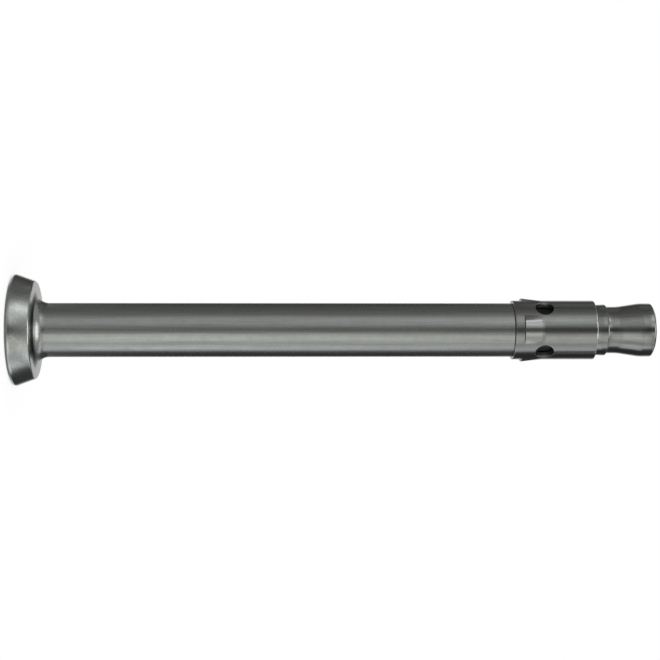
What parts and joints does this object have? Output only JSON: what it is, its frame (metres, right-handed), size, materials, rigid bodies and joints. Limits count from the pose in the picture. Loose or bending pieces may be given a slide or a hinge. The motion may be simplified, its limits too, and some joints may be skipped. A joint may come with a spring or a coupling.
{
  "type": "nail anchor",
  "caption": "Steel nail anchor: a headed bolt with a cone at its far end carries a slit, rolled expansion sleeve that spreads in a drilled hole when the bolt is pulled back.",
  "frame": {"origin": "centre of the head's flat top face, on which the anchor stands", "axes": "+Z along the bolt's axis from the head to the cone; -Y out of the middle finger of the sleeve; +X to its side"},
  "size_m": [0.0112, 0.0112, 0.0641],
  "materials": {
    "bolt_steel": "satin plated steel, drawn along the shank",
    "sleeve_steel": "satin rolled sheet steel with sheared edges"
  },
  "bodies": {
    "bolt": {"cone_bolt": "bolt_steel"},
    "sleeve": {"expansion_sleeve": "sleeve_steel"}
  },
  "joints": [
    {"name": "sleeve_spin", "type": "hinge", "parent": "bolt", "child": "sleeve", "pos_m": [0, 0, 0.05405], "axis": [0, 0, 1], "continuous": true}
  ]
}
